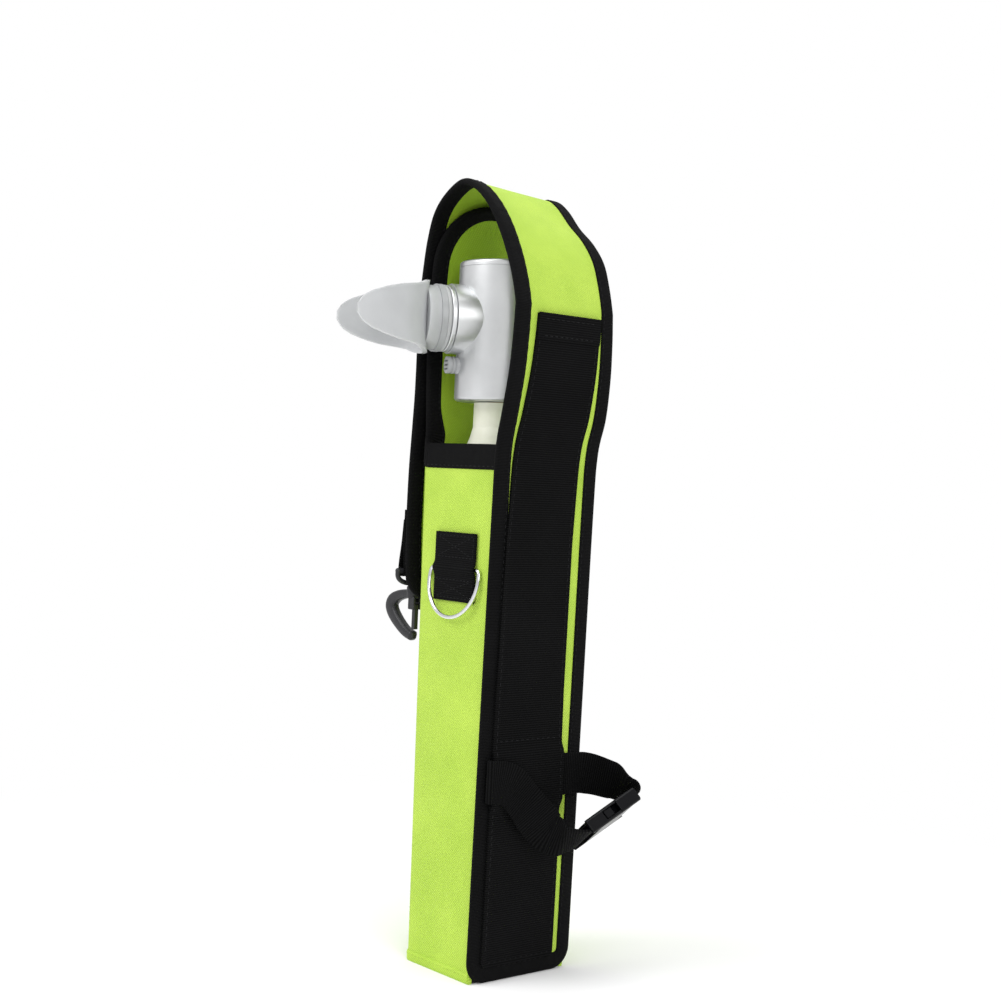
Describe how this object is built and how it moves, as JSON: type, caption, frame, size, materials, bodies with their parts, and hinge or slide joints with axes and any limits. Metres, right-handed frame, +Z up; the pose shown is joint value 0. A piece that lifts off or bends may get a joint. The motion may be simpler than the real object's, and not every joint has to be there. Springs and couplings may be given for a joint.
{
  "type": "portable oxygen cylinder in carrier",
  "caption": "Small breathing cylinder with regulator, gauge and mouthpiece in a tall fabric holster with a fold-over flap, belt webbing and leg strap.",
  "frame": {"origin": "centre of the carrier's footprint, on the floor under the bottom panel", "axes": "+Z up along the cylinder; -Y the side the mouthpiece leaves by; +X the belt webbing side; -X the side the flap's tail hangs on"},
  "size_m": [0.1514, 0.1656, 0.4619],
  "materials": {
    "lime_fabric": "twill-woven coated nylon over foam",
    "black_tape": "grosgrain binding tape",
    "black_webbing": "ribbed webbing",
    "base_board": "stiffener board",
    "chrome_wire": "bright plated wire",
    "dark_plastic": "moulded acetal",
    "black_plastic": "moulded acetal",
    "tank_paint": "satin paint on aluminium",
    "collar_plastic": "satin",
    "head_metal": "satin anodised",
    "cap_metal": "satin anodised",
    "brass": "turned",
    "steel": "turned",
    "spring_steel": "drawn wire",
    "seal_rubber": "nitrile",
    "membrane": "silicone membrane",
    "button_plastic": "moulded",
    "silicone": "translucent grey silicone",
    "clamp_plastic": "moulded",
    "dial_white": "printed dial face",
    "needle_red": "satin",
    "lens": "clear lens"
  },
  "bodies": {
    "carrier": {"pocket_wrap": "lime_fabric", "mouth_binding": "black_tape", "bottom_panel": "base_board", "back_panel": "lime_fabric", "back_binding": "black_tape", "back_webbing": "black_webbing", "side_ring_tab": "black_webbing", "front_ring_tab": "black_webbing", "leg_strap": "black_webbing", "buckle_socket": "black_plastic"},
    "crown_rear": {"crown_rear_panel": "lime_fabric", "crown_rear_binding": "black_tape"},
    "crown_front": {"crown_front_panel": "lime_fabric", "crown_front_binding": "black_tape"},
    "tail": {"tail_panel": "lime_fabric", "tail_binding": "black_tape", "tail_tab": "black_webbing"},
    "hook_eye": {"hook_eye": "dark_plastic"},
    "hook": {"hook_body": "dark_plastic"},
    "hook_gate": {"hook_gate": "dark_plastic"},
    "side_ring": {"side_ring": "chrome_wire"},
    "front_ring": {"front_ring": "chrome_wire"},
    "plug": {"buckle_plug": "black_plastic", "leg_strap_end": "black_webbing"},
    "prong_upper": {"prong_upper": "black_plastic"},
    "prong_lower": {"prong_lower": "black_plastic"},
    "cylinder": {"tank_shell": "tank_paint", "neck_collar": "collar_plastic", "neck_o_ring": "seal_rubber", "valve_core": "brass", "regulator_housing": "head_metal", "top_cap": "cap_metal", "diaphragm": "membrane", "purge_spring": "spring_steel", "demand_seat": "brass", "lever_pin": "steel", "poppet_spring": "spring_steel", "piston_spring": "spring_steel", "mouthpiece_port": "cap_metal", "port_ring": "cap_metal", "exhaust_cover": "clamp_plastic", "gauge_case": "steel", "gauge_dial": "dial_white", "gauge_lens": "lens", "gauge_bezel": "head_metal", "fill_body": "brass", "fill_spring": "spring_steel", "burst_plug": "brass"},
    "purge": {"purge_button": "button_plastic", "diaphragm_plate": "steel"},
    "lever": {"demand_lever": "steel"},
    "poppet": {"poppet": "brass"},
    "piston": {"piston": "brass", "piston_o_ring": "seal_rubber"},
    "mouthpiece": {"mouthpiece": "silicone", "mouthpiece_clamp": "clamp_plastic"},
    "exhaust_flap": {"exhaust_valve": "membrane"},
    "needle": {"gauge_needle": "needle_red"},
    "fill_check": {"fill_poppet": "steel"},
    "fill_cap": {"fill_cap": "black_plastic"}
  },
  "joints": [
    {"name": "cylinder_lift", "type": "slide", "parent": "carrier", "child": "cylinder", "axis": [0, 0, 1], "range_m": [0, 0.01]},
    {"name": "crown_top_fold", "type": "hinge", "parent": "crown_rear", "child": "crown_front", "pos_m": [-0.00815, 0, 0.45975], "axis": [0, 1, 0], "range_deg": [0, 60]},
    {"name": "crown_back_fold", "type": "hinge", "parent": "carrier", "child": "crown_rear", "pos_m": [0.04875, 0, 0.3875], "axis": [0, 1, 0], "range_deg": [0, 90]},
    {"name": "tail_fold", "type": "hinge", "parent": "crown_front", "child": "tail", "pos_m": [-0.04215, 0, 0.3716], "axis": [0, 1, 0], "range_deg": [0, 90]},
    {"name": "hook_swing", "type": "hinge", "parent": "tail", "child": "hook_eye", "pos_m": [-0.0494, -0.028, 0.231], "axis": [0, 1, 0], "range_deg": [0, 60]},
    {"name": "hook_swivel", "type": "hinge", "parent": "hook_eye", "child": "hook", "pos_m": [-0.0494, -0.028, 0.218], "axis": [0, 0, 1], "range_deg": [-90, 90]},
    {"name": "hook_gate_open", "type": "hinge", "parent": "hook", "child": "hook_gate", "pos_m": [-0.0468, -0.028, 0.21], "axis": [0, 1, 0], "range_deg": [0, 16]},
    {"name": "side_ring_swing", "type": "hinge", "parent": "carrier", "child": "side_ring", "pos_m": [0.002, -0.03745, 0.236], "axis": [-1, 0, 0], "range_deg": [0, 110]},
    {"name": "front_ring_swing", "type": "hinge", "parent": "carrier", "child": "front_ring", "pos_m": [-0.03581, -0.014, 0.17597], "axis": [0, 1, 0], "range_deg": [0, 110]},
    {"name": "buckle_release", "type": "slide", "parent": "carrier", "child": "plug", "axis": [0, 0.9148, 0.4039], "range_m": [0, 0.016]},
    {"name": "prong_upper_squeeze", "type": "hinge", "parent": "plug", "child": "prong_upper", "pos_m": [0.06856, 0.03817, 0.10211], "axis": [0.6, 0.3231, -0.7318], "range_deg": [0, 4]},
    {"name": "prong_lower_squeeze", "type": "hinge", "parent": "plug", "child": "prong_lower", "pos_m": [0.05544, 0.04214, 0.09311], "axis": [0.6, 0.3231, -0.7318], "range_deg": [-4, 0]},
    {"name": "purge_press", "type": "slide", "parent": "cylinder", "child": "purge", "axis": [0, 0, -1], "range_m": [0, 0.003], "deforming": ["purge_spring"]},
    {"name": "demand_lever_tilt", "type": "hinge", "parent": "cylinder", "child": "lever", "pos_m": [0.003, -0.005, 0.3959], "axis": [0, 1, 0], "range_deg": [0, 22]},
    {"name": "poppet_lift", "type": "slide", "parent": "cylinder", "child": "poppet", "axis": [0, 0, 1], "range_m": [0, 0.0019], "deforming": ["poppet_spring"]},
    {"name": "piston_slide", "type": "slide", "parent": "cylinder", "child": "piston", "axis": [0, 0, 1], "range_m": [0, 0.0015], "deforming": ["piston_spring"]},
    {"name": "mouthpiece_turn", "type": "hinge", "parent": "cylinder", "child": "mouthpiece", "pos_m": [0, -0.005, 0.3815], "axis": [-0.3746, -0.9272, 0], "range_deg": [-90, 90]},
    {"name": "exhaust_flap_lift", "type": "slide", "parent": "cylinder", "child": "exhaust_flap", "axis": [-0.3746, -0.9272, 0], "range_m": [0, 0.0015]},
    {"name": "gauge_needle_sweep", "type": "hinge", "parent": "cylinder", "child": "needle", "pos_m": [0.03506, -0.01118, 0.352], "axis": [0.9848, -0.1736, 0], "range_deg": [0, 270]},
    {"name": "fill_check_open", "type": "slide", "parent": "cylinder", "child": "fill_check", "axis": [0, -1, 0], "range_m": [0, 0.001]},
    {"name": "fill_cap_off", "type": "slide", "parent": "cylinder", "child": "fill_cap", "axis": [0, 1, 0], "range_m": [0, 0.012]}
  ],
  "couplings": [
    {"joint": "crown_back_fold", "follows": "crown_top_fold", "ratio": 1.5},
    {"joint": "prong_lower_squeeze", "follows": "prong_upper_squeeze", "ratio": -1},
    {"joint": "demand_lever_tilt", "follows": "purge_press", "rad_per_m": 127.9},
    {"joint": "poppet_lift", "follows": "purge_press", "ratio": 0.633}
  ]
}
